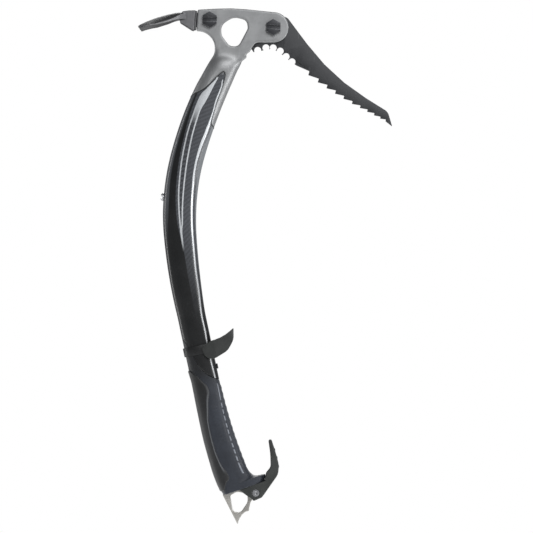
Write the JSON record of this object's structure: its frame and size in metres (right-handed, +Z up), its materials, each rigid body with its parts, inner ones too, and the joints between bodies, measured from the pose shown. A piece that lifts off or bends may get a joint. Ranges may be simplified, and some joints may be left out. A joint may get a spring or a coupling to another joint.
{
  "type": "technical ice axe",
  "caption": "Hand tool with a bolted toothed pick and adze, an open head with a clip-in eye, a curved tube shaft, a moulded grip with a hook, a sliding finger ledge and a spike.",
  "frame": {"origin": "centre of the clip-in eye in the head, in the tool's middle plane", "axes": "+Z up the tool as it hangs, +X from the adze to the pick, +Y across the tool away from the bolt heads"},
  "size_m": [0.2463, 0.046, 0.4997],
  "materials": {
    "forged_head": "bead-blasted anodised aluminium",
    "pick_steel": "dark heat-treated chromoly plate",
    "adze_steel": "dark forged steel",
    "blackened_bolt": "blackened steel hexagon head",
    "carbon_shaft": "clear-coated carbon weave with painted bands",
    "bond_line": "dark epoxy bead",
    "bright_steel": "bright stainless fasteners",
    "stop_plastic": "moulded nylon",
    "grip_rubber": "satin moulded rubber, blue-black",
    "back_panel_rubber": "matt moulded rubber, second shot",
    "spike_steel": "bead-blasted stainless plate",
    "core_plastic": "moulded nylon core",
    "fang_plastic": "glass-filled nylon",
    "ledge_plastic": "moulded nylon",
    "band_plastic": "flexible nylon strap",
    "lever_plastic": "moulded nylon lever"
  },
  "bodies": {
    "root": {"head": "forged_head", "pick": "pick_steel", "adze": "adze_steel", "pick_bolt": "blackened_bolt", "pick_nut": "blackened_bolt", "adze_bolt": "blackened_bolt", "adze_nut": "blackened_bolt", "shaft": "carbon_shaft", "neck_bead": "bond_line", "spine_stud": "bright_steel", "stop_stud": "stop_plastic", "grip": "grip_rubber", "grip_back_panel": "back_panel_rubber", "spike": "spike_steel", "spike_plug": "core_plastic", "spike_pins": "bright_steel", "fang": "fang_plastic", "fang_bolt": "bright_steel", "fang_nut": "bright_steel"},
    "ledge": {"finger_ledge": "ledge_plastic", "clamp_band": "band_plastic", "lever_pin": "bright_steel", "tension_screw": "bright_steel"},
    "lever": {"lock_lever": "lever_plastic"}
  },
  "joints": [
    {"name": "ledge_slide", "type": "slide", "parent": "root", "child": "ledge", "axis": [-0.2062, 0, 0.9785], "range_m": [-0.005, 0.022]},
    {"name": "lever_hinge", "type": "hinge", "parent": "ledge", "child": "lever", "pos_m": [-0.02383, 0.0159, -0.30644], "axis": [-0.2062, 0, 0.9785], "range_deg": [0, 110]}
  ]
}
